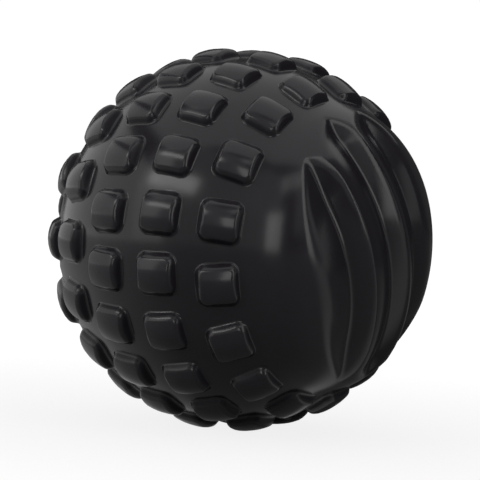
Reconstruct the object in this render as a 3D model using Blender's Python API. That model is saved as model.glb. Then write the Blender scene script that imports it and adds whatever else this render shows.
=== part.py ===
"""Massage ball roller: a knobbed rubber cover in two halves over a hollow, screwed plastic core.

The polar axis is +X and points out of the ribbed cap. Polar angles are measured from +X, and angles
round the axis from +Z towards -Y. The ball's centre is the origin, and +Z is up.
"""
import math

import bmesh
import bpy
from mathutils import Matrix, Vector

MM = 0.001

# Ball
BALL_DIAMETER = 127.0 * MM
COVER_THICKNESS = 9.0 * MM
FIT_GAP = 0.35 * MM

# Knobs: square blocks with drafted walls, in rings round the axis
KNOB_HEIGHT = 3.6 * MM
KNOB_TOP_WIDTH = 11.6 * MM
KNOB_CORNER = 2.6 * MM
KNOB_EDGE = 1.0 * MM
KNOB_DRAFT_ANGLE = 24.0
KNOB_ROOT = 1.6 * MM
FIRST_RING_ANGLE = 58.8
RING_PITCH_ANGLE = 19.1
RING_KNOBS = (16, 19, 20, 17, 12)
RING_TURNS = (35.2, 42.2, 45.0, 49.8, 33.8)
NEAR_RINGS = 2
POLE_RING_KNOBS = 7
POLE_RING_TURN = 20.0

# Ribbed cap: a raised dome with round-ended grooves, set a little aside of the pole
CAP_RISE = 3.7 * MM
CAP_ROOT = 4.0 * MM
CAP_FOOT_ANGLE = 53.5
CAP_SHOULDER_ANGLE = 35.0
CAP_REACH_ANGLE = 60.0
RIB_TURN = 109.4
RIB_OFFSET_ANGLE = 4.3
RIB_PERIOD_ANGLE = 16.0
GROOVE_COUNT = 3
GROOVE_DEPTH = 3.4 * MM
GROOVE_END_ANGLE = 46.0
GROOVE_END_LENGTH_ANGLE = 9.5

# Seam between the cover halves: a lip of the near half under the far half
LIP_LENGTH = 5.0 * MM
LIP_THICKNESS = 4.0 * MM

# Core shells, with a tongue round the near rim in a groove of the far rim
CORE_WALL = 4.6 * MM
TONGUE_LENGTH = 2.5 * MM
TONGUE_THICKNESS = 1.4 * MM

# Studs on the core that stop the cover turning
STUD_COUNT = 6
STUD_ANGLE = 45.0
STUD_DIAMETER = 10.0 * MM
STUD_HEIGHT = 2.6 * MM

# Screw pillars and screws
PILLAR_COUNT = 4
PILLAR_CIRCLE_RADIUS = 28.0 * MM
PILLAR_DIAMETER = 10.0 * MM
WEB_THICKNESS = 2.4 * MM
SCREW_DIAMETER = 3.0 * MM
SCREW_LENGTH = 25.0 * MM
SCREW_SEAT = 14.0 * MM
SCREW_HEAD_DIAMETER = 5.6 * MM
SCREW_HEAD_HEIGHT = 2.2 * MM
SCREW_SLOT_WIDTH = 0.9 * MM
SCREW_SLOT_DEPTH = 1.1 * MM

# Facets
SEGMENTS = 32
SKIN_STEP = 10
HIDDEN_STEP = 15
ARC_END = 1
ROUND_SEGMENTS = 12
STEPS_PER_RIB = 6
STEPS_PAST_RIBS = 3
STEPS_ALONG_RIBS = 16
STEPS_PER_WEB = 4
SINK = 1.0 * MM

# Radii and angles that follow from the sizes above
TOP_RADIUS = BALL_DIAMETER / 2
BASE_RADIUS = TOP_RADIUS - KNOB_HEIGHT
COVER_INNER_RADIUS = BASE_RADIUS - COVER_THICKNESS
CORE_RADIUS = COVER_INNER_RADIUS - FIT_GAP
CORE_MIDDLE_RADIUS = CORE_RADIUS - CORE_WALL / 2
CORE_INNER_RADIUS = CORE_RADIUS - CORE_WALL
SCREW_HOLE_RADIUS = SCREW_DIAMETER / 2 + FIT_GAP
SCREW_WELL_RADIUS = SCREW_HEAD_DIAMETER / 2 + FIT_GAP
SEAM_ANGLE = FIRST_RING_ANGLE + (NEAR_RINGS - 0.5) * RING_PITCH_ANGLE
SEAM_X = BASE_RADIUS * math.cos(math.radians(SEAM_ANGLE))
FIRST_CREST_ANGLE = RIB_OFFSET_ANGLE - GROOVE_COUNT * RIB_PERIOD_ANGLE / 2


def polar_point(radius, angle):
    """Profile point (along the axis, away from the axis) at a polar angle in degrees."""
    return radius * math.cos(math.radians(angle)), radius * math.sin(math.radians(angle))


def arc(radius, start, end, step=HIDDEN_STEP):
    """Profile points of a sphere between two polar angles, at whole steps so that spheres nest."""
    low, high = min(start, end), max(start, end)
    between = [angle for angle in range(step, 180, step) if low + ARC_END < angle < high - ARC_END]
    angles = [low] + between + [high]
    if start > end:
        angles.reverse()
    return [polar_point(radius, angle) for angle in angles]


def angle_at(radius, x):
    """Polar angle of a sphere where it crosses the plane at x."""
    return math.degrees(math.acos(x / radius))


def material(name, colour, roughness, metallic=0.0):
    made = bpy.data.materials.new(name)
    made.use_nodes = True
    shader = made.node_tree.nodes["Principled BSDF"]
    shader.inputs["Base Color"].default_value = (*colour, 1.0)
    shader.inputs["Roughness"].default_value = roughness
    shader.inputs["Metallic"].default_value = metallic
    return made


def add_object(name, bm, parent=None, surface=None):
    """Object from a bmesh, which is freed."""
    mesh = bpy.data.meshes.new(name)
    bm.to_mesh(mesh)
    bm.free()
    if surface:
        mesh.materials.append(surface)
    made = bpy.data.objects.new(name, mesh)
    bpy.context.collection.objects.link(made)
    made.parent = parent
    return made


def smooth(made):
    made.data.shade_smooth()
    made.data.set_sharp_from_angle(angle=math.radians(35))


def tool(name, bm):
    """Hidden shape that a Boolean joins to a piece or cuts from it."""
    made = add_object(name, bm)
    made.hide_render = True
    made.display_type = "WIRE"
    return made


def combine(piece, operation, other):
    step = piece.modifiers.new(other.name, "BOOLEAN")
    step.operation = operation
    step.solver = "EXACT"
    step.object = other


def revolve(profile):
    """Closed solid: an open profile that starts and ends on the X axis, spun round it."""
    bm = bmesh.new()
    points = [bm.verts.new((x, 0.0, away)) for x, away in profile]
    edges = [bm.edges.new(pair) for pair in zip(points, points[1:])]
    bmesh.ops.spin(bm, geom=points + edges, cent=(0, 0, 0), axis=(1, 0, 0),
                   angle=2 * math.pi, steps=SEGMENTS)
    bmesh.ops.remove_doubles(bm, verts=bm.verts, dist=1e-6)
    bmesh.ops.recalc_face_normals(bm, faces=bm.faces)
    return bm


def loft(bm, sections):
    """Closed solid through sections with equal counts of points."""
    loops = [[bm.verts.new(point) for point in section] for section in sections]
    count = len(loops[0])
    faces = [bm.faces.new(reversed(loops[0])), bm.faces.new(loops[-1])]
    for lower, upper in zip(loops, loops[1:]):
        for k in range(count):
            after = (k + 1) % count
            faces.append(bm.faces.new((lower[k], lower[after], upper[after], upper[k])))
    bmesh.ops.recalc_face_normals(bm, faces=faces)


def circle(radius):
    steps = [2 * math.pi * k / ROUND_SEGMENTS for k in range(ROUND_SEGMENTS)]
    return [(radius * math.cos(step), radius * math.sin(step)) for step in steps]


def rounded_square(half, corner):
    """Square outline with cut corners, two points to a corner."""
    flat = half - corner
    return [(half, flat), (flat, half), (-flat, half), (-half, flat),
            (-half, -flat), (-flat, -half), (flat, -half), (half, -flat)]


def seat(angle, turn):
    """Turn that takes local +Z to the outward direction at a polar angle and a turn round the axis."""
    return (Matrix.Rotation(math.radians(turn), 4, "X")
            @ Matrix.Rotation(math.radians(90.0 - angle), 4, "Y"))


def raised(place, outline, height):
    return [place @ Vector((x, y, height)) for x, y in outline]


def add_knob(bm, angle, turn):
    """One knob: drafted walls from below the skin to an edge round, then a flat top."""
    place = seat(angle, turn)
    lean = math.tan(math.radians(KNOB_DRAFT_ANGLE))
    shoulder = KNOB_TOP_WIDTH / 2
    root = shoulder + (KNOB_HEIGHT - KNOB_EDGE + KNOB_ROOT) * lean
    loft(bm, [
        raised(place, rounded_square(root, KNOB_CORNER), BASE_RADIUS - KNOB_ROOT),
        raised(place, rounded_square(shoulder, KNOB_CORNER), TOP_RADIUS - KNOB_EDGE),
        raised(place, rounded_square(shoulder - KNOB_EDGE, KNOB_CORNER - KNOB_EDGE / 2), TOP_RADIUS),
    ])


def ring_angle(ring):
    return FIRST_RING_ANGLE + ring * RING_PITCH_ANGLE


def add_ring(bm, angle, count, turn):
    for k in range(count):
        add_knob(bm, angle, turn + 360.0 * k / count)


def outer_rim(sheet):
    """The vertices round the edge of a grid of rows, in order."""
    return (sheet[0] + [row[-1] for row in sheet[1:]]
            + sheet[-1][-2::-1] + [row[0] for row in sheet[-2:0:-1]])


def cap_radius(side, polar):
    """Radius of the ribbed cap at an angle across the ribs and a polar angle.

    The dome climbs from its foot to its shoulder along a quarter sine wave and goes on falling
    outside its foot, under the skin. Each groove is a parabola across the ribs, so two grooves meet
    in a sharp crest, and a second parabola along the ribs rounds off its ends.
    """
    climb = min(1.0, (CAP_FOOT_ANGLE - polar) / (CAP_FOOT_ANGLE - CAP_SHOULDER_ANGLE))
    rise = max(CAP_RISE * math.sin(math.pi / 2 * max(climb, -1.0)), -CAP_ROOT / 2)
    place = (side - FIRST_CREST_ANGLE) / RIB_PERIOD_ANGLE
    if not 0.0 < place < GROOVE_COUNT:
        return BASE_RADIUS + rise
    across = place % 1.0 - 0.5
    end = max(0.0, 1.0 - (GROOVE_END_ANGLE - polar) / GROOVE_END_LENGTH_ANGLE)
    hollow = max(0.0, 1.0 - (2 * across) ** 2 - end ** 2)
    return BASE_RADIUS + rise - GROOVE_DEPTH * hollow


def rib_sides():
    """Angles across the ribs: fine steps over the grooves, coarse ones out to the cap's edges."""
    step = RIB_PERIOD_ANGLE / STEPS_PER_RIB
    grooved = [FIRST_CREST_ANGLE + k * step for k in range(GROOVE_COUNT * STEPS_PER_RIB + 1)]
    before = (grooved[0] + CAP_REACH_ANGLE) / STEPS_PAST_RIBS
    after = (CAP_REACH_ANGLE - grooved[-1]) / STEPS_PAST_RIBS
    left = [k * before - CAP_REACH_ANGLE for k in range(STEPS_PAST_RIBS)]
    right = [grooved[-1] + (k + 1) * after for k in range(STEPS_PAST_RIBS)]
    return left + grooved + right


def add_cap(bm):
    """Ribbed cap as a thick sheet: a grid along and across the ribs, over a floor inside the wall."""
    turn = Matrix.Rotation(math.radians(RIB_TURN), 4, "X")
    skin, floor = [], []
    for i in range(STEPS_ALONG_RIBS + 1):
        swing = math.radians(CAP_REACH_ANGLE * (2 * i / STEPS_ALONG_RIBS - 1))
        skin_row, floor_row = [], []
        for side in rib_sides():
            level = math.cos(math.radians(side))
            out = Vector((level * math.cos(swing), level * math.sin(swing), math.sin(math.radians(side))))
            polar = math.degrees(math.acos(out.x))
            skin_row.append(bm.verts.new(turn @ (out * cap_radius(side, polar))))
            floor_row.append(bm.verts.new(turn @ (out * (BASE_RADIUS - CAP_ROOT))))
        skin.append(skin_row)
        floor.append(floor_row)
    for i in range(STEPS_ALONG_RIBS):
        for j in range(len(skin[0]) - 1):
            bm.faces.new((floor[i][j], floor[i][j + 1], floor[i + 1][j + 1], floor[i + 1][j]))
            bm.faces.new((skin[i][j], skin[i + 1][j], skin[i + 1][j + 1], skin[i][j + 1]))
    low, high = outer_rim(floor), outer_rim(skin)
    for k in range(len(low)):
        bm.faces.new((low[k - 1], high[k - 1], high[k], low[k]))


def add_studs(bm, angle, gap):
    """Round studs on the core, or with a gap the pockets in the cover that they fill."""
    outline = circle(STUD_DIAMETER / 2 + gap)
    for k in range(STUD_COUNT):
        place = seat(angle, 360.0 * k / STUD_COUNT)
        loft(bm, [raised(place, outline, CORE_RADIUS - SINK),
                  raised(place, outline, CORE_RADIUS + STUD_HEIGHT + gap)])


def pillar_centres():
    for k in range(PILLAR_COUNT):
        turn = 2 * math.pi * (k + 0.5) / PILLAR_COUNT
        yield PILLAR_CIRCLE_RADIUS * math.cos(turn), PILLAR_CIRCLE_RADIUS * math.sin(turn)


def add_turned(bm, centre, rings):
    """Round body along X through rings of a place on X and a radius."""
    y0, z0 = centre
    loft(bm, [[(x, y0 + y, z0 + z) for y, z in circle(radius)] for x, radius in rings])


def in_wall(away):
    """Place along the axis of the shell wall's middle, at a distance from the axis."""
    return math.sqrt(CORE_MIDDLE_RADIUS ** 2 - away ** 2)


def add_pillars(bm, side):
    """Screw pillars from the rim's plane into the middle of the shell wall."""
    start = side * FIT_GAP / 2
    for y0, z0 in pillar_centres():
        outline = [(y0 + y, z0 + z) for y, z in circle(PILLAR_DIAMETER / 2)]
        loft(bm, [[(start, y, z) for y, z in outline],
                  [(side * in_wall(math.hypot(y, z)), y, z) for y, z in outline]])


def add_webs(bm, side):
    """Flat webs in the planes through the axis, from each pillar out to the wall."""
    start = side * FIT_GAP / 2
    near = PILLAR_CIRCLE_RADIUS
    far = CORE_INNER_RADIUS + SINK / 2
    for y0, z0 in pillar_centres():
        outward = Vector((0.0, y0, z0)).normalized()
        sideways = Vector((1.0, 0.0, 0.0)).cross(outward) * (WEB_THICKNESS / 2)
        corners = [(start, near), (start, far)]
        for k in range(STEPS_PER_WEB + 1):
            away = far + (near - far) * k / STEPS_PER_WEB
            corners.append((side * in_wall(away), away))
        flat = [Vector((x, 0.0, 0.0)) + outward * away for x, away in corners]
        loft(bm, [[point - sideways for point in flat], [point + sideways for point in flat]])


def make_near_cover(parent, surface):
    lip_radius = COVER_INNER_RADIUS + LIP_THICKNESS
    lip_end = SEAM_X - LIP_LENGTH
    profile = arc(COVER_INNER_RADIUS, 0.0, angle_at(COVER_INNER_RADIUS, lip_end))
    profile += [(lip_end, lip_radius), (SEAM_X + FIT_GAP / 2, lip_radius)]
    profile += arc(BASE_RADIUS, angle_at(BASE_RADIUS, SEAM_X + FIT_GAP / 2), 0.0, SKIN_STEP)
    cover = add_object("cover_half_near", revolve(profile), parent, surface)
    cap = bmesh.new()
    add_cap(cap)
    combine(cover, "UNION", tool("ribbed_cap", cap))
    knobs = bmesh.new()
    for ring in range(NEAR_RINGS):
        add_ring(knobs, ring_angle(ring), RING_KNOBS[ring], RING_TURNS[ring])
    combine(cover, "UNION", tool("near_knobs", knobs))
    pockets = bmesh.new()
    add_studs(pockets, STUD_ANGLE, FIT_GAP)
    combine(cover, "DIFFERENCE", tool("near_pockets", pockets))
    return cover


def make_far_cover(parent, surface):
    rebate_radius = COVER_INNER_RADIUS + LIP_THICKNESS + FIT_GAP
    rebate_end = SEAM_X - LIP_LENGTH - FIT_GAP
    rim = SEAM_X - FIT_GAP / 2
    profile = arc(COVER_INNER_RADIUS, 180.0, angle_at(COVER_INNER_RADIUS, rebate_end))
    profile += [(rebate_end, rebate_radius), (rim, rebate_radius)]
    profile += arc(BASE_RADIUS, angle_at(BASE_RADIUS, rim), 180.0, SKIN_STEP)
    cover = add_object("cover_half_far", revolve(profile), parent, surface)
    knobs = bmesh.new()
    rings = len(RING_KNOBS)
    for ring in range(NEAR_RINGS, rings):
        add_ring(knobs, ring_angle(ring), RING_KNOBS[ring], RING_TURNS[ring])
    add_ring(knobs, (ring_angle(rings - 1) + 180.0) / 2, POLE_RING_KNOBS, POLE_RING_TURN)
    add_knob(knobs, 180.0, 0.0)
    combine(cover, "UNION", tool("far_knobs", knobs))
    pockets = bmesh.new()
    add_studs(pockets, 180.0 - STUD_ANGLE, FIT_GAP)
    combine(cover, "DIFFERENCE", tool("far_pockets", pockets))
    return cover


def make_near_shell(parent, surface):
    rim = FIT_GAP / 2
    middle = CORE_MIDDLE_RADIUS
    half = TONGUE_THICKNESS / 2
    profile = arc(CORE_INNER_RADIUS, 0.0, angle_at(CORE_INNER_RADIUS, rim))
    profile += [(rim, middle - half), (-TONGUE_LENGTH, middle - half),
                (-TONGUE_LENGTH, middle + half), (rim, middle + half)]
    profile += arc(CORE_RADIUS, angle_at(CORE_RADIUS, rim), 0.0)
    shell = add_object("core_shell_near", revolve(profile), parent, surface)
    add_inside(shell, 1.0)
    wells = bmesh.new()
    for centre in pillar_centres():
        add_turned(wells, centre, [(-SINK, SCREW_HOLE_RADIUS), (SCREW_SEAT, SCREW_HOLE_RADIUS),
                                   (SCREW_SEAT, SCREW_WELL_RADIUS), (CORE_RADIUS, SCREW_WELL_RADIUS)])
    combine(shell, "DIFFERENCE", tool("screw_wells", wells))
    return shell


def make_far_shell(parent, surface):
    rim = -FIT_GAP / 2
    middle = CORE_MIDDLE_RADIUS
    half = TONGUE_THICKNESS / 2 + FIT_GAP
    floor = -TONGUE_LENGTH - FIT_GAP
    profile = arc(CORE_INNER_RADIUS, 180.0, angle_at(CORE_INNER_RADIUS, rim))
    profile += [(rim, middle - half), (floor, middle - half), (floor, middle + half), (rim, middle + half)]
    profile += arc(CORE_RADIUS, angle_at(CORE_RADIUS, rim), 180.0)
    shell = add_object("core_shell_far", revolve(profile), parent, surface)
    add_inside(shell, -1.0)
    holes = bmesh.new()
    tip = SCREW_SEAT + FIT_GAP - SCREW_LENGTH
    for centre in pillar_centres():
        add_turned(holes, centre, [(SINK, SCREW_HOLE_RADIUS), (tip - FIT_GAP, SCREW_HOLE_RADIUS)])
    combine(shell, "DIFFERENCE", tool("screw_holes", holes))
    return shell


def add_inside(shell, side):
    """Pillars, webs and studs of one core shell."""
    name = "near" if side > 0 else "far"
    pillars = bmesh.new()
    add_pillars(pillars, side)
    combine(shell, "UNION", tool(name + "_pillars", pillars))
    webs = bmesh.new()
    add_webs(webs, side)
    combine(shell, "UNION", tool(name + "_webs", webs))
    studs = bmesh.new()
    add_studs(studs, STUD_ANGLE if side > 0 else 180.0 - STUD_ANGLE, 0.0)
    combine(shell, "UNION", tool(name + "_studs", studs))


def make_screw(name, centre, parent, surface):
    """Pan-head screw along -X: a turned profile, with a slot cut across the head."""
    edge = SCREW_HEAD_HEIGHT / 3
    head = SCREW_HEAD_DIAMETER / 2
    shank = SCREW_DIAMETER / 2
    rings = [(-SCREW_LENGTH, shank / 3), (-SCREW_LENGTH + SCREW_DIAMETER, shank), (0.0, shank),
             (0.0, head), (SCREW_HEAD_HEIGHT - edge, head), (SCREW_HEAD_HEIGHT, head - edge)]
    bm = bmesh.new()
    add_turned(bm, (0.0, 0.0), rings)
    screw = add_object(name, bm, parent, surface)
    screw.location = (SCREW_SEAT + FIT_GAP, *centre)
    slot = bmesh.new()
    bmesh.ops.create_cube(slot, size=1.0)
    bmesh.ops.scale(slot, vec=(2 * SCREW_SLOT_DEPTH, SCREW_SLOT_WIDTH, 2 * SCREW_HEAD_DIAMETER),
                    verts=slot.verts)
    cutter = tool(name + "_slot", slot)
    cutter.parent = screw
    cutter.location = (SCREW_HEAD_HEIGHT, 0.0, 0.0)
    combine(screw, "DIFFERENCE", cutter)
    return screw


def main():
    for old in list(bpy.data.objects):
        bpy.data.objects.remove(old)
    centre = bpy.data.objects.new("ball_centre", None)
    bpy.context.collection.objects.link(centre)
    rubber = material("black_rubber", (0.012, 0.012, 0.014), 0.36)
    plastic = material("grey_core_plastic", (0.16, 0.16, 0.17), 0.5)
    steel = material("screw_steel", (0.6, 0.6, 0.58), 0.3, 1.0)
    pieces = [make_near_cover(centre, rubber), make_far_cover(centre, rubber),
              make_near_shell(centre, plastic), make_far_shell(centre, plastic)]
    for k, place in enumerate(pillar_centres()):
        pieces.append(make_screw(f"core_screw_{k + 1}", place, centre, steel))
    for piece in pieces:
        smooth(piece)


main()
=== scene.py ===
# %% [markdown]
# # A knobbed massage ball
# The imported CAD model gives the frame: a ball of 127 mm whose polar axis is X, with a ribbed cap at
# the +X pole. The CAD model could be dressed as it is, but its knobs have cut corners and flat
# facets, so the two halves of the rubber cover are made again here as fine smooth skins. The core
# and its screws keep their CAD meshes and only get better materials.

# %% Load the frame
import math

import bpy
import numpy as np
from mathutils import Matrix, Vector


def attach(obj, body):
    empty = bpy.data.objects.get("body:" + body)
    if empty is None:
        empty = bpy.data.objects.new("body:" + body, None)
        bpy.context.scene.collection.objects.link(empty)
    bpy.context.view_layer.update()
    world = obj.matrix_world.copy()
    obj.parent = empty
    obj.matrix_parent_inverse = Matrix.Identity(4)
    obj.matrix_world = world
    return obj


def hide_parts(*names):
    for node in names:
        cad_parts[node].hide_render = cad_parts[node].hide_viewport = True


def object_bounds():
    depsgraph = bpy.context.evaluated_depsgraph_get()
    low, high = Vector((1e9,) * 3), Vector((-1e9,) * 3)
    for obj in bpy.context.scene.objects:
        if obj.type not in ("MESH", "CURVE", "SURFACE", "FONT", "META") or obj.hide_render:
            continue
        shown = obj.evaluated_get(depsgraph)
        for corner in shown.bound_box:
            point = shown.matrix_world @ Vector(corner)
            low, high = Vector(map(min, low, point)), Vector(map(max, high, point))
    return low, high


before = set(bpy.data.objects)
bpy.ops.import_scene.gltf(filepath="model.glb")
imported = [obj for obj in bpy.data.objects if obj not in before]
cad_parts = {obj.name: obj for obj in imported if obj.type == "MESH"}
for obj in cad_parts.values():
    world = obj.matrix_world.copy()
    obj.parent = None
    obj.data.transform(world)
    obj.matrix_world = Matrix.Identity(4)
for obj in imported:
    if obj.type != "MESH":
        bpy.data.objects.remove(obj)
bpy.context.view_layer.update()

print("CAD nodes:", sorted(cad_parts))

# %% [markdown]
# ## Sizes
# The layout is that of the CAD model, in metres, with angles in degrees. A polar angle is measured
# from +X, and a turn round the axis from +Z towards -Y. It could be measured from the meshes, but a
# moulding has exact sizes, so the numbers are simply stated again. The rounding of the knobs and the
# two unlike sides of each groove are finer than in the CAD model, and follow the shine in the photo.

# %% Sizes of the ball and its rings
MM = 0.001
TOP_RADIUS = 63.5 * MM
KNOB_HEIGHT = 3.6 * MM
BASE_RADIUS = TOP_RADIUS - KNOB_HEIGHT
COVER_WALL = 9.0 * MM
COVER_INNER_RADIUS = BASE_RADIUS - COVER_WALL
FIT_GAP = 0.35 * MM

FIRST_RING = 58.8
RING_PITCH = 19.1
RING_KNOBS = (16, 19, 20, 17, 12)
RING_TURNS = (35.2, 42.2, 45.0, 49.8, 33.8)
NEAR_RINGS = 2
POLE_RING_KNOBS = 7
POLE_RING_TURN = 20.0
ring_angles = [FIRST_RING + k * RING_PITCH for k in range(len(RING_KNOBS))]
pole_ring = (ring_angles[-1] + 180.0) / 2
seam_angle = ring_angles[NEAR_RINGS - 1] + RING_PITCH / 2
seam_x = BASE_RADIUS * math.cos(math.radians(seam_angle))
print("rings at", ring_angles, "and", pole_ring, "seam at", seam_angle)

# %% [markdown]
# ## Camera
# The camera comes first, so that every later step can be compared with the photograph. It could be
# moved by eye, but here it follows from a fit of the knob tops: the pole points right and towards
# the viewer, the lens is long and the camera stands about a metre away.

# %% Camera
IMAGE_SIDE = 480
CAMERA_AZIMUTH = 37.86
CAMERA_ELEVATION = 3.47
CAMERA_ROLL = 3.24
CAMERA_DISTANCE = 16 * TOP_RADIUS
PIXELS_PER_RADIUS = 192.0
SENSOR = 36.0
CENTRE_UP_PIXELS = 0.8
BALL_CENTRE = Vector((0, 0, 0))


def look_from(azimuth, elevation):
    """Unit vector from the ball's centre towards a viewer: azimuth 0 stands at -Y and 90 at +X."""
    a, e = math.radians(azimuth), math.radians(elevation)
    return Vector((math.sin(a) * math.cos(e), -math.cos(a) * math.cos(e), math.sin(e)))


def aimed(place, target, roll=0.0):
    """Matrix of a camera or light at a place that looks at a target, turned about its own axis."""
    turn = (target - place).to_track_quat("-Z", "Y").to_matrix().to_4x4()
    return Matrix.Translation(place) @ turn @ Matrix.Rotation(math.radians(roll), 4, "Z")


lens = bpy.data.cameras.new("photo_camera")
lens.sensor_width = SENSOR
lens.lens = PIXELS_PER_RADIUS * (CAMERA_DISTANCE / TOP_RADIUS) / IMAGE_SIDE * SENSOR
lens.shift_y = -CENTRE_UP_PIXELS / IMAGE_SIDE
camera = bpy.data.objects.new("photo_camera", lens)
bpy.context.scene.collection.objects.link(camera)
camera_place = look_from(CAMERA_AZIMUTH, CAMERA_ELEVATION) * CAMERA_DISTANCE
camera.matrix_world = aimed(camera_place, BALL_CENTRE, CAMERA_ROLL)
bpy.context.scene.camera = camera
print("lens", round(lens.lens, 1), "mm")

# %% [markdown]
# ## Surfaces from a formula
# Each skin is a set of patches. A patch is a grid of polar angles and turns, and a height function
# gives the radius at each grid point. Normals come from the same function by small differences, so
# the patches meet without a visible line. Sculpting or subdividing the CAD mesh would also round
# the knobs, but a formula keeps every knob exactly alike.

# %% Rounded minimum and maximum
def smooth_min(a, b, blend):
    """The smaller of two values, with the corner between them rounded over a blend."""
    return np.minimum(a, b) - np.maximum(blend - np.abs(a - b), 0.0) ** 2 / (4 * blend)


def smooth_max(a, b, blend):
    """The larger of two values, with the corner between them rounded over a blend."""
    return -smooth_min(-a, -b, blend)


# %% Patches
SMALL_ANGLE = 1e-4
POLE_MARGIN = 1e-3


def direction(polar, turn):
    """Unit vectors at polar angles from +X and turns from +Z towards -Y, in radians."""
    away = np.sin(polar)
    return np.stack([np.cos(polar), -away * np.sin(turn), away * np.cos(turn)], axis=-1)


def polar_grid(first, last, rows, steps):
    """Polar angles in rows between two angles in degrees, and turns in steps right round the axis.

    Both grids that come back are in radians.
    """
    polar = np.radians(np.linspace(first, last, rows))
    turn = np.linspace(0.0, 2 * np.pi, steps + 1)
    return np.meshgrid(polar, turn, indexing="ij")


def patch(polar, turn, radius, inward=False):
    """Grid of points at radius(polar, turn) along each direction, with their normals.

    A normal is the cross product of the surface's small steps along the two grid directions. On a
    pole itself all turns are one point, so the steps there start a little beside it.
    """
    def at(p, t):
        return direction(p, t) * radius(p, t)[..., None]

    points = at(polar, turn)
    beside = np.clip(polar, POLE_MARGIN, np.pi - POLE_MARGIN)
    along = at(beside + SMALL_ANGLE, turn) - at(beside - SMALL_ANGLE, turn)
    round_axis = (at(beside, turn + SMALL_ANGLE) - at(beside, turn - SMALL_ANGLE)) / np.sin(beside)[..., None]
    normals = np.cross(along, round_axis)
    normals /= np.linalg.norm(normals, axis=-1, keepdims=True)
    outward = np.sign(np.sum(normals * points, axis=-1, keepdims=True))
    normals *= -outward if inward else outward
    return points, normals


def revolved(profile, steps=256):
    """Bands of a turned rim: each pair of (along the axis, away from it) points is one plain band."""
    turn = np.linspace(0.0, 2 * np.pi, steps + 1)
    made = []
    for (x0, r0), (x1, r1) in zip(profile, profile[1:]):
        x = np.array([x0, x1])[:, None] + 0 * turn
        r = np.array([r0, r1])[:, None]
        points = np.stack([x, -r * np.sin(turn), r * np.cos(turn)], axis=-1)
        side = np.array([-(r1 - r0), x1 - x0]) / math.hypot(x1 - x0, r1 - r0)
        normals = np.stack([side[0] + 0 * x, -side[1] * np.sin(turn) + 0 * x,
                            side[1] * np.cos(turn) + 0 * x], axis=-1)
        made.append((points, normals))
    return made


# %% Meshes from patches
def grid_faces(points, normals):
    """Corner numbers of a grid's squares, wound so that they face along the normals."""
    rows, columns = points.shape[:2]
    number = np.arange(rows * columns).reshape(rows, columns)
    faces = np.stack([number[:-1, :-1], number[:-1, 1:], number[1:, 1:], number[1:, :-1]], axis=-1)
    across = points[:-1, 1:] - points[1:, :-1]
    down = points[1:, 1:] - points[:-1, :-1]
    facing = np.sum(np.cross(down, across) * normals[:-1, :-1], axis=-1)
    return np.where(facing.sum() > 0, faces[..., ::-1], faces).reshape(-1, 4)


def add_point_values(mesh, name, values):
    """Attribute with one number for each point, which a material can read."""
    made = mesh.attributes.new(name, "FLOAT", "POINT")
    made.data.foreach_set("value", values.astype(np.float32))


def mesh_from(name, patches):
    """One object from patches, with its normals, and with height and steepness as attributes.

    The height is that over the plain skin, in knob heights and never below 0. The steepness is the
    sine of the angle between the normal and the line from the ball's centre.
    """
    points = np.concatenate([p.reshape(-1, 3) for p, _ in patches])
    normals = np.concatenate([n.reshape(-1, 3) for _, n in patches])
    faces, first = [], 0
    for p, n in patches:
        faces.append(grid_faces(p, n) + first)
        first += p.shape[0] * p.shape[1]
    faces = np.concatenate(faces)
    mesh = bpy.data.meshes.new(name)
    mesh.vertices.add(len(points))
    mesh.vertices.foreach_set("co", points.astype(np.float32).ravel())
    mesh.loops.add(faces.size)
    mesh.loops.foreach_set("vertex_index", faces.astype(np.int32).ravel())
    mesh.polygons.add(len(faces))
    mesh.polygons.foreach_set("loop_start", np.arange(0, faces.size, 4, dtype=np.int32))
    mesh.update(calc_edges=True)
    mesh.shade_smooth()
    mesh.normals_split_custom_set_from_vertices(normals.astype(np.float32))
    away = np.linalg.norm(points, axis=1, keepdims=True)
    height = (away[:, 0] - BASE_RADIUS) / KNOB_HEIGHT
    add_point_values(mesh, "raised", np.maximum(height, 0.0))
    add_point_values(mesh, "steep", np.linalg.norm(np.cross(normals, points / away), axis=1))
    made = bpy.data.objects.new(name, mesh)
    bpy.context.scene.collection.objects.link(made)
    print(name, len(faces) * 2, "triangles")
    return made


# %% [markdown]
# ## Knobs
# A knob is a square block with round corners, drafted walls, a crowned top and a small fillet at its
# foot. The walls depend only on the distance from its outline, measured along the skin. The top is
# crowned mainly round the ring, since the photograph shows level bands of light on the knobs; an even
# bowl would show round spots. The smooth minimum and maximum round the walls into top and skin.

# %% Knob formula
KNOB_HALF = 5.5 * MM
KNOB_CORNER = 1.8 * MM
KNOB_DRAFT = 27.0
CROWN_ACROSS = 1.1 * MM
CROWN_ALONG = 0.3 * MM
KNOB_EDGE_BLEND = 1.7 * MM
KNOB_FOOT_BLEND = 0.9 * MM


def knob_height(across, along):
    """Height of one knob over the skin at distances in metres from its middle.

    The distance to a round-cornered square is worked out first. The wall falls from the knob's
    height by the draft, the top falls with the squares of the two distances from the middle, each
    with its own crown, and the wall is rounded into the top and into the skin.
    """
    flat = KNOB_HALF - KNOB_CORNER
    x, y = np.abs(across) - flat, np.abs(along) - flat
    outside = np.hypot(np.maximum(x, 0.0), np.maximum(y, 0.0))
    distance = outside + np.minimum(np.maximum(x, y), 0.0) - KNOB_CORNER
    wall = KNOB_HEIGHT - distance / math.tan(math.radians(KNOB_DRAFT))
    top = KNOB_HEIGHT - (CROWN_ACROSS * across ** 2 + CROWN_ALONG * along ** 2) / KNOB_HALF ** 2
    return smooth_max(smooth_min(wall, top, KNOB_EDGE_BLEND), 0.0, KNOB_FOOT_BLEND)


print("knob height in the middle", round(float(knob_height(0.0, 0.0)) / MM, 3), "mm")

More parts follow.
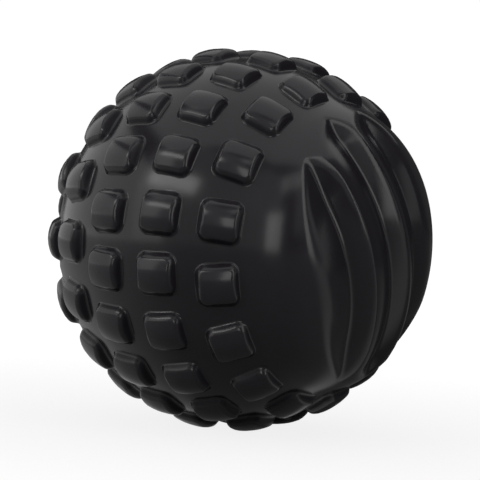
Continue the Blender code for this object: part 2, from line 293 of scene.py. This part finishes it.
# %% [markdown]
# ## Rings
# A ring is one band of equal cells with a knob in each. The grid lines of a cell crowd together
# over the knob's walls and edges and are sparse on its top and in the valleys, which keeps the
# number of triangles low. An even grid would need several times as many.

# %% Ring bands
TOP_LINES = (0.0, 1.8, 3.2)
WALL_LINES = np.linspace(3.9, 8.1, 13)
KNOB_LINES = np.concatenate([TOP_LINES, WALL_LINES])
LINE_MARGIN = 0.2


def stations(low, high):
    """Grid offsets in degrees from a knob's middle, out to the two ends of its cell."""
    lower = [low] + [-v for v in KNOB_LINES[::-1] if low + LINE_MARGIN < -v]
    upper = [v for v in KNOB_LINES[1:] if v < high - LINE_MARGIN] + [high]
    return np.array(lower + upper)


def ring_band(angle, count, turn, low, high, skin=None):
    """All the cells of a ring between two polar angles, as patches.

    The radius is that of the plain skin plus the knob's height. A further skin may be given as a
    height function: it is added too, and fades out as a knob's wall climbs.
    """
    middle = math.radians(angle)
    spread = math.sin(middle)
    half = 180.0 / count * spread
    offsets = np.radians(stations(-half, half)) / spread
    polar = np.radians(stations(low - angle, high - angle) + angle)
    made = []
    for k in range(count):
        centre = math.radians(turn + 360.0 * k / count)

        def radius(p, t):
            across = TOP_RADIUS * (t - centre) * np.sin(p)
            knob = knob_height(across, TOP_RADIUS * (p - middle))
            under = skin(p, t) * (1.0 - knob / KNOB_HEIGHT) if skin else 0.0
            return BASE_RADIUS + knob + under

        p, t = np.meshgrid(polar, offsets + centre, indexing="ij")
        made.append(patch(p, t, radius))
    return made


rings = list(zip(ring_angles, RING_KNOBS, RING_TURNS))
print("knobs in the rings:", sum(RING_KNOBS) + POLE_RING_KNOBS)

# %% [markdown]
# ## Ribbed cap
# The cap is a low dome with grooves in parallel planes, set a little aside of the pole. Across the
# ribs each groove sinks along a longer, gentle side and climbs back along a shorter, steep one, like
# waves that lean over, and it closes with a parabola at its ends. Round grooves with two equal sides
# would be simpler, but they put the light on the wrong side of each rib.

# %% Cap formula
CAP_RISE = 3.7 * MM
CAP_FOOT = 53.5
CAP_SHOULDER = 35.0
CAP_FOOT_BLEND = 1.5 * MM
RIB_TURN = 109.4
RIB_CRESTS = (28.4, 9.7, -6.5, -22.8)
CREST_BLEND = 0.4 * MM
DOME_BLEND = 1.2 * MM
GROOVE_DEPTH = 4.0 * MM
GROOVE_LOW = 0.62
VALLEY_BLEND = 0.3
GROOVE_ENDS = (41.0, 46.0, 46.0)
GROOVE_END_LENGTHS = (13.0, 9.0, 9.0)


def cap_height(polar, turn):
    """Height of the cap over the skin at polar angles and turns in radians.

    The dome climbs along a quarter sine wave from its foot to its shoulder. Each groove lies between
    two crests. Its depth grows evenly from the first crest to its lowest line, shrinks evenly to the
    next crest, and shrinks with a square towards its ends. The lowest of all these surfaces is kept,
    with rounded edges.
    """
    degrees = np.degrees(polar)
    across = np.degrees(np.arcsin(np.sin(polar) * np.cos(turn - math.radians(RIB_TURN))))
    climb = np.clip((CAP_FOOT - degrees) / (CAP_FOOT - CAP_SHOULDER), -1.0, 1.0)
    dome = smooth_max(CAP_RISE * np.sin(np.pi / 2 * climb), 0.0, CAP_FOOT_BLEND)
    lowest = dome + KNOB_HEIGHT
    grooves = zip(RIB_CRESTS, RIB_CRESTS[1:], GROOVE_ENDS, GROOVE_END_LENGTHS)
    for left, right, last, length in grooves:
        step = (left - across) / (left - right)
        deep = smooth_min(step / GROOVE_LOW, (1.0 - step) / (1.0 - GROOVE_LOW), VALLEY_BLEND)
        end = np.maximum(1.0 - (last - degrees) / length, 0.0)
        groove = dome - GROOVE_DEPTH * (deep - end ** 2)
        lowest = smooth_min(lowest, groove, CREST_BLEND)
    return smooth_min(lowest, dome, DOME_BLEND)


print("cap height at the pole", round(float(cap_height(0.0, 0.0)) / MM, 2), "mm")

# %% [markdown]
# ## Insides
# The covers are thick, so each has an inner face, a rim and the lap of the seam. The inner face is
# a sphere with round pockets for the studs of the core. None of this shows on the closed ball, but
# a cover that is taken off should not be a bare sheet.

# %% Inner faces
STUDS = 6
STUD_ANGLE = 45.0
STUD_RADIUS = 5.0 * MM
POCKET_DEPTH = 2.6 * MM
POCKET_WALL = 0.4 * MM
INNER_ROWS = 60
INNER_STEPS = 192


def ramp(value):
    """Half a cosine wave from 0 to 1 as the value goes from 0 to 1, and level beyond."""
    return 0.5 - 0.5 * np.cos(np.pi * np.clip(value, 0.0, 1.0))


def inner_face(edge, far):
    """Inside of a cover from its pole to an angle from it in degrees, with the pockets of the studs.

    The radius grows by the depth of a pocket wherever the arc to the nearest stud's middle is
    shorter than the pocket is wide, along half a cosine wave at the pocket's wall.
    """
    polar, turn = polar_grid(0.0, edge, INNER_ROWS, INNER_STEPS)
    stud = math.radians(STUD_ANGLE)
    step = 2 * np.pi / STUDS

    def radius(p, t):
        aside = t - np.round(t / step) * step
        cosine = np.cos(stud) * np.cos(p) + np.sin(stud) * np.sin(p) * np.cos(aside)
        distance = COVER_INNER_RADIUS * np.arccos(np.clip(cosine, -1, 1))
        inside = ramp((STUD_RADIUS + FIT_GAP + POCKET_WALL - distance) / POCKET_WALL)
        return COVER_INNER_RADIUS + POCKET_DEPTH * inside

    if far:
        return patch(np.pi - polar, turn, lambda p, t: radius(np.pi - p, t), inward=True)
    return patch(polar, turn, radius, inward=True)


def angle_at(radius, x):
    """Polar angle in degrees of the circle at x on a sphere: the arc cosine of x over its radius."""
    return math.degrees(math.acos(x / radius))


def radius_at(radius, x):
    """Distance from the axis of the circle at x on a sphere, by the rule of the right triangle."""
    return math.sqrt(radius ** 2 - x ** 2)


# %% [markdown]
# ## The near half
# The near half carries the ribbed cap and the rings next to it. Its lip reaches under the far half,
# so the seam in the valley between two rings can't open. The two halves could be one mesh, but they
# are moulded apart and stay apart here, with a hairline between them.

# %% Near half
LIP_LENGTH = 5.0 * MM
LIP_THICKNESS = 4.0 * MM
HAIRLINE = 0.002 * MM
CAP_ROWS = 118
CAP_STEPS = 400

cap_edge = FIRST_RING - RING_PITCH / 2
first_end = cap_edge + RING_PITCH
near_rim_x = seam_x + HAIRLINE
near_edge = angle_at(BASE_RADIUS, near_rim_x)
polar, turn = polar_grid(0.0, cap_edge, CAP_ROWS, CAP_STEPS)
near_patches = [patch(polar, turn, lambda p, t: BASE_RADIUS + cap_height(p, t))]
near_patches += ring_band(*rings[0], cap_edge, first_end, skin=cap_height)
near_patches += ring_band(*rings[1], first_end, near_edge)
lip_radius = COVER_INNER_RADIUS + LIP_THICKNESS
lip_end = seam_x - LIP_LENGTH
near_patches += revolved([
    (near_rim_x, BASE_RADIUS * math.sin(math.radians(near_edge))), (near_rim_x, lip_radius),
    (lip_end, lip_radius), (lip_end, radius_at(COVER_INNER_RADIUS, lip_end))])
near_patches.append(inner_face(angle_at(COVER_INNER_RADIUS, lip_end), far=False))
near_cover = mesh_from("near_cover_skin", near_patches)

# %% [markdown]
# ## The far half
# The far half carries the other rings, a last ring round its pole and one knob on the pole itself.
# The photograph doesn't show that pole, so the knobs just go on evenly.

# %% Far half
POLE_ROWS = 49
POLE_STEPS = 160


def pole_knob(polar, turn):
    """The skin round the far pole: a knob square to the Y and Z axes."""
    away = TOP_RADIUS * (np.pi - polar)
    return BASE_RADIUS + knob_height(away * np.sin(turn), away * np.cos(turn))


far_rim_x = seam_x - HAIRLINE
far_edge = angle_at(BASE_RADIUS, far_rim_x)
pole_edge = (pole_ring + 180.0) / 2
ends = [far_edge] + [angle + RING_PITCH / 2 for angle in ring_angles[NEAR_RINGS:]]
far_patches = []
for ring, low, high in zip(rings[NEAR_RINGS:], ends, ends[1:]):
    far_patches += ring_band(*ring, low, high)
far_patches += ring_band(pole_ring, POLE_RING_KNOBS, POLE_RING_TURN, ends[-1], pole_edge)
polar, turn = polar_grid(pole_edge, 180.0, POLE_ROWS, POLE_STEPS)
far_patches.append(patch(polar, turn, pole_knob))
rebate_radius = lip_radius + FIT_GAP
rebate_end = lip_end - FIT_GAP
far_patches += revolved([
    (rebate_end, radius_at(COVER_INNER_RADIUS, rebate_end)), (rebate_end, rebate_radius),
    (far_rim_x, rebate_radius), (far_rim_x, BASE_RADIUS * math.sin(math.radians(far_edge)))])
far_patches.append(inner_face(180.0 - angle_at(COVER_INNER_RADIUS, rebate_end), far=True))
far_cover = mesh_from("far_cover_skin", far_patches)

# %% [markdown]
# ## Shader groups
# The rubber, the plastic and the plating all have a fine grain and faint marks from handling. Each
# effect is a group with named sockets that gives a mask, a value or a normal, so that every material
# can use it at its own scale. Making them in each material alone would work too, but would be three
# copies of one idea.

# %% Node helpers
def node(tree, kind, **values):
    """Node with properties set by name and sockets set by their labels."""
    made = tree.nodes.new(kind)
    for key, value in values.items():
        if hasattr(made, key):
            setattr(made, key, value)
        else:
            made.inputs[key.replace("_", " ")].default_value = value
    return made


def feed(tree, value, socket):
    """Give a socket a number, or a link from another node."""
    if isinstance(value, (int, float)):
        socket.default_value = value
    else:
        tree.links.new(value, socket)


def math_node(tree, operation, a, b):
    """Math node whose two inputs are links or numbers."""
    made = node(tree, "ShaderNodeMath", operation=operation)
    feed(tree, a, made.inputs[0])
    feed(tree, b, made.inputs[1])
    return made.outputs[0]


def map_range(tree, value, source, target, kind="LINEAR"):
    """Map Range node that carries a value from one pair of ends to another pair."""
    made = node(tree, "ShaderNodeMapRange", interpolation_type=kind)
    labels = ("Value", "From Min", "From Max", "To Min", "To Max")
    for label, given in zip(labels, (value, *source, *target)):
        feed(tree, given, made.inputs[label])
    return made.outputs["Result"]


def two_tone(tree, share, dark, light):
    """Colour between a dark and a light tone, steered by a share from 0 to 1."""
    made = node(tree, "ShaderNodeValToRGB")
    made.color_ramp.elements[0].color = (*dark, 1.0)
    made.color_ramp.elements[1].color = (*light, 1.0)
    tree.links.new(share, made.inputs["Fac"])
    return made.outputs["Color"]


def group(name, inputs, outputs):
    """Empty node group with number or vector sockets, and its two end nodes."""
    tree = bpy.data.node_groups.new(name, "ShaderNodeTree")
    for label, value in inputs:
        socket = tree.interface.new_socket(label, in_out="INPUT", socket_type="NodeSocketFloat")
        socket.default_value = value
    for label, kind in outputs:
        tree.interface.new_socket(label, in_out="OUTPUT", socket_type=kind)
    return tree, tree.nodes.new("NodeGroupInput"), tree.nodes.new("NodeGroupOutput")


# %% Grain group
BROAD_WEIGHT = 4.0

grain, grain_in, grain_out = group(
    "moulded_grain", [("Scale", 1500.0), ("Strength", 0.1), ("Distance", 0.00002)],
    [("Normal", "NodeSocketVector"), ("Mask", "NodeSocketFloat")])
coords = node(grain, "ShaderNodeTexCoord")
fine = node(grain, "ShaderNodeTexNoise", Detail=3.0, Roughness=0.6)
broad = node(grain, "ShaderNodeTexNoise", Detail=2.0, Scale=90.0)
bump = node(grain, "ShaderNodeBump")
grain.links.new(coords.outputs["Object"], fine.inputs["Vector"])
grain.links.new(coords.outputs["Object"], broad.inputs["Vector"])
grain.links.new(grain_in.outputs["Scale"], fine.inputs["Scale"])
grain.links.new(grain_in.outputs["Strength"], bump.inputs["Strength"])
grain.links.new(grain_in.outputs["Distance"], bump.inputs["Distance"])
waves = math_node(grain, "MULTIPLY", broad.outputs["Fac"], BROAD_WEIGHT)
grain.links.new(math_node(grain, "ADD", fine.outputs["Fac"], waves), bump.inputs["Height"])
grain.links.new(bump.outputs["Normal"], grain_out.inputs["Normal"])
grain.links.new(fine.outputs["Fac"], grain_out.inputs["Mask"])

# %% Handling group
CLOUD_RANGE = (0.3, 0.7)

marks, marks_in, marks_out = group(
    "handling_marks", [("Scale", 40.0), ("Low", 0.3), ("High", 0.5)],
    [("Value", "NodeSocketFloat")])
coords = node(marks, "ShaderNodeTexCoord")
cloud = node(marks, "ShaderNodeTexNoise", Detail=5.0, Roughness=0.62, Distortion=0.4)
marks.links.new(coords.outputs["Object"], cloud.inputs["Vector"])
marks.links.new(marks_in.outputs["Scale"], cloud.inputs["Scale"])
level = map_range(marks, cloud.outputs["Fac"], CLOUD_RANGE,
                  (marks_in.outputs["Low"], marks_in.outputs["High"]))
marks.links.new(level, marks_out.inputs["Value"])
print("groups:", [g.name for g in bpy.data.node_groups])

# %% [markdown]
# ## Rubber
# The cover is black rubber with a satin skin. Its colour holds painted shade: by the height above the
# skin it is a little paler on the tops of the knobs and darker in the valleys, and the same height
# makes the tops a little duller. The steep walls keep the matt skin of the mould. A single black
# would look like a hole in the picture.

# %% Material helpers
def add_group(tree, shared, **values):
    """One of the shared groups placed in a material, with its own values."""
    made = tree.nodes.new("ShaderNodeGroup")
    made.node_tree = shared
    for key, value in values.items():
        made.inputs[key].default_value = value
    return made


def new_material(name):
    """Material with its node tree and its main shader."""
    made = bpy.data.materials.new(name)
    made.use_nodes = True
    return made, made.node_tree, made.node_tree.nodes["Principled BSDF"]


# %% Rubber material
VALLEY_BLACK = (0.0164, 0.0143, 0.0177)
TOP_BLACK = (0.0226, 0.0200, 0.0244)
TOP_PAINTED_LIGHT = 0.7
TOP_DULLING = 0.03
WALL_STEEPNESS = (0.74, 0.88)
WALL_DULLING = 0.12
SKIN_SPECULAR = 0.5
WALL_SPECULAR_LOSS = 0.38

rubber, tree, shader = new_material("black_satin_rubber")
grained = add_group(tree, grain, Scale=1400.0, Strength=0.12, Distance=0.00002)
worn = add_group(tree, marks, Scale=45.0, Low=0.15, High=0.19)
mottle = add_group(tree, marks, Scale=120.0, Low=-0.15, High=0.15)
height = node(tree, "ShaderNodeAttribute", attribute_name="raised").outputs["Fac"]
slope = node(tree, "ShaderNodeAttribute", attribute_name="steep").outputs["Fac"]
matt = map_range(tree, slope, WALL_STEEPNESS, (0.0, 1.0), "SMOOTHSTEP")

# Painted shade: by height, the knob tops get the paler black and the valleys the darker one.
painted_top_light = math_node(tree, "MULTIPLY", height, TOP_PAINTED_LIGHT)
painted_light_and_mottle = math_node(tree, "ADD", painted_top_light, mottle.outputs["Value"])
tree.links.new(two_tone(tree, painted_light_and_mottle, VALLEY_BLACK, TOP_BLACK), shader.inputs["Base Color"])

dulled = math_node(tree, "MULTIPLY", height, TOP_DULLING)
polish = math_node(tree, "ADD", worn.outputs["Value"], dulled)
wall_dulled = math_node(tree, "MULTIPLY", matt, WALL_DULLING)
tree.links.new(math_node(tree, "ADD", polish, wall_dulled), shader.inputs["Roughness"])

wall_loss = math_node(tree, "MULTIPLY", matt, WALL_SPECULAR_LOSS)
specular = math_node(tree, "SUBTRACT", SKIN_SPECULAR, wall_loss)
tree.links.new(specular, shader.inputs["Specular IOR Level"])
tree.links.new(grained.outputs["Normal"], shader.inputs["Normal"])
print("made", rubber.name)

# %% [markdown]
# ## Core and screws
# The core is grey moulded plastic and its screws are plated steel. They are inside the ball, so
# they keep the CAD shapes, with the same grain and marks at a finer scale. Plain colours would do
# while the ball is closed, but not for a core that is taken out.

# %% Core materials
def grained_finish(name, dark, light, grain_values, marks_values, metallic=0.0):
    """Material whose tone follows the mask of the grain and whose roughness follows the marks."""
    made, tree, shader = new_material(name)
    grained = add_group(tree, grain, **grain_values)
    worn = add_group(tree, marks, **marks_values)
    tone = two_tone(tree, grained.outputs["Mask"], dark, light)
    tree.links.new(tone, shader.inputs["Base Color"])
    tree.links.new(worn.outputs["Value"], shader.inputs["Roughness"])
    tree.links.new(grained.outputs["Normal"], shader.inputs["Normal"])
    shader.inputs["Metallic"].default_value = metallic
    print("made", name)
    return made


plastic = grained_finish(
    "grey_core_plastic", dark=(0.130, 0.130, 0.138), light=(0.180, 0.180, 0.190),
    grain_values={"Scale": 2200.0, "Strength": 0.2, "Distance": 0.00002},
    marks_values={"Scale": 60.0, "Low": 0.42, "High": 0.58})
steel = grained_finish(
    "plated_screw_steel", dark=(0.52, 0.52, 0.50), light=(0.66, 0.66, 0.64),
    grain_values={"Scale": 5000.0, "Strength": 0.1, "Distance": 0.00001},
    marks_values={"Scale": 400.0, "Low": 0.2, "High": 0.36}, metallic=1.0)

# %% [markdown]
# ## Dressing
# Each new skin takes the place of its CAD cover and belongs to the same rigid body. The pieces of
# the core could be made again too, but moulded plastic and screws look right as the CAD has them.

# %% Dress the pieces
for cover, cad_node in ((near_cover, "cover_half_near"), (far_cover, "cover_half_far")):
    cover.data.materials.append(rubber)
    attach(cover, "root")
    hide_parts(cad_node)
core = {name: piece for name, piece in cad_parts.items() if name.startswith("core_")}
for name, piece in core.items():
    piece.data.materials.clear()
    piece.data.materials.append(plastic if name.startswith("core_shell") else steel)
print("covers replace the CAD covers; the core keeps its", len(core), "CAD pieces")

# %% [markdown]
# ## Studio
# The ball lies on a plain pale floor in front of a white background. The floor glows pale to the
# camera, with a painted shadow that makes it a little darker round the ball, and it keeps the ball's
# own shadow. In reflections it is dimmer and shows a painted glow, since the photograph shows an
# almost black underside: it is darkest in front and at the far right, and lighter on the left and in
# a wedge at the right, which lights the steep sides of the ribs. A floor with one tone would be
# simpler, but it would show as a pale band on the lower half of the ball.

# %% Floor
FLOOR_REACH = 6.0

floor_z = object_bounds()[0][2]
corners = [(x * FLOOR_REACH, y * FLOOR_REACH, floor_z) for x, y in ((-1, -1), (1, -1), (1, 1), (-1, 1))]
floor_mesh = bpy.data.meshes.new("floor")
floor_mesh.from_pydata(corners, [], [(0, 1, 2, 3)])
floor = bpy.data.objects.new("floor", floor_mesh)
bpy.context.scene.collection.objects.link(floor)
print("floor at", round(floor_z / MM, 1), "mm")

# %% Floor material
FLOOR_GREY = 0.12
FLOOR_ROUGHNESS = 0.9
WHITE = (1.0, 1.0, 1.0, 1.0)
# Painted shadow: the floor's brightness to the camera, from near the ball to further out.
PAINTED_SHADOW_REACH = (0.07, 0.35)
PAINTED_SHADOW_LEVELS = (0.85, 1.0)
GLOW_BY_AZIMUTH = ((-180.0, 0.1), (-100.0, 0.45), (-30.0, 0.1), (20.0, 0.08), (50.0, 0.12),
                   (62.0, 0.4), (72.0, 0.4), (80.0, 0.03))


def along_line(tree, place, line):
    """How far a place lies along a line of unit length: the dot product of the two."""
    made = node(tree, "ShaderNodeVectorMath", operation="DOT_PRODUCT")
    made.inputs[1].default_value = line
    tree.links.new(place, made.inputs[0])
    return made.outputs["Value"]


pale, tree, shader = new_material("pale_floor")
shader.inputs["Base Color"].default_value = (FLOOR_GREY, FLOOR_GREY, FLOOR_GREY, 1.0)
shader.inputs["Roughness"].default_value = FLOOR_ROUGHNESS
shader.inputs["Specular IOR Level"].default_value = 0.0
shader.inputs["Emission Color"].default_value = WHITE
path = node(tree, "ShaderNodeLightPath")
place = node(tree, "ShaderNodeTexCoord").outputs["Object"]
reach = node(tree, "ShaderNodeVectorMath", operation="LENGTH")
tree.links.new(place, reach.inputs[0])
# Painted shadow: to the camera the floor is a little darker near the ball and white further out.
painted_shadow_fade = map_range(tree, reach.outputs["Value"], PAINTED_SHADOW_REACH, PAINTED_SHADOW_LEVELS)
camera_white_and_painted_shadow = math_node(tree, "MULTIPLY", path.outputs["Is Camera Ray"], painted_shadow_fade)

side = along_line(tree, place, look_from(CAMERA_AZIMUTH + 90.0, 0.0))
front = along_line(tree, place, look_from(CAMERA_AZIMUTH, 0.0))
full_turns = math_node(tree, "DIVIDE", math_node(tree, "ARCTAN2", side, front), 2 * math.pi)
tone = node(tree, "ShaderNodeValToRGB")
while len(tone.color_ramp.elements) < len(GLOW_BY_AZIMUTH):
    tone.color_ramp.elements.new(0.5)
for element, (azimuth, grey) in zip(tone.color_ramp.elements, GLOW_BY_AZIMUTH):
    element.position = azimuth / 360.0 + 0.5
    element.color = (grey, grey, grey, 1.0)
tree.links.new(math_node(tree, "ADD", full_turns, 0.5), tone.inputs["Fac"])
# Painted glow: in reflections the floor glows by azimuth round the ball, as if lit there.
painted_reflection_glow = math_node(tree, "MULTIPLY", path.outputs["Is Glossy Ray"], tone.outputs["Color"])
tree.links.new(math_node(tree, "ADD", camera_white_and_painted_shadow, painted_reflection_glow), shader.inputs["Emission Strength"])
floor_mesh.materials.append(pale)
print("made", pale.name)

# %% Background
ROOM_LEVEL = 0.04

world = bpy.data.worlds.new("studio")
world.use_nodes = True
bpy.context.scene.world = world
tree = world.node_tree
back = tree.nodes["Background"]
back.inputs["Color"].default_value = WHITE
path = node(tree, "ShaderNodeLightPath")
seen = math_node(tree, "ADD", path.outputs["Is Camera Ray"], ROOM_LEVEL)
tree.links.new(seen, back.inputs["Strength"])
print("background", world.name)

# %% [markdown]
# ## Light
# The light comes from soft boxes, placed by the streaks on the knobs and ribs. Their azimuths are
# counted from the camera's side, to the right. A ring of even light would be simpler, but it would
# hide the ribs.

# %% Lights
# Name, azimuth, elevation, distance in metres, degrees filled across and up, and brightness
SOFT_BOXES = (
    ("overhead_box", 170.0, 76.0, 1.1, 86.0, 86.0, 0.5),
    ("left_box", -100.0, 8.0, 1.3, 104.0, 60.0, 0.6),
    ("front_wall", -36.0, 22.0, 2.4, 72.0, 70.0, 0.26),
    ("left_strip", -51.0, 33.5, 1.4, 32.0, 10.0, 2.3),
    ("right_wall", 31.0, 28.0, 2.2, 12.0, 40.0, 0.25),
    ("right_box", 52.0, 20.0, 1.5, 18.0, 60.0, 1.3),
    ("right_strip", 80.0, 10.0, 1.4, 14.0, 30.0, 0.35),
    ("high_strip", 22.0, 45.0, 1.6, 28.0, 12.0, 0.7),
    ("front_box", 0.0, 10.0, 1.55, 17.0, 27.0, 1.3),
)


def soft_box(name, azimuth, elevation, distance, wide, high, brightness):
    """Rectangular soft light at a direction from the camera's side, sized by the angles it fills.

    An area light's brightness is a quarter of its power over its area.
    """
    lamp = bpy.data.lights.new(name, "AREA")
    lamp.shape = "RECTANGLE"
    lamp.size = 2 * distance * math.tan(math.radians(wide / 2))
    lamp.size_y = 2 * distance * math.tan(math.radians(high / 2))
    lamp.energy = 4 * brightness * lamp.size * lamp.size_y
    made = bpy.data.objects.new(name, lamp)
    bpy.context.scene.collection.objects.link(made)
    place = look_from(CAMERA_AZIMUTH + azimuth, elevation) * distance
    made.matrix_world = aimed(place, BALL_CENTRE)


for box in SOFT_BOXES:
    soft_box(*box)
bpy.context.scene.view_settings.view_transform = "Standard"
print("lights:", [box[0] for box in SOFT_BOXES])
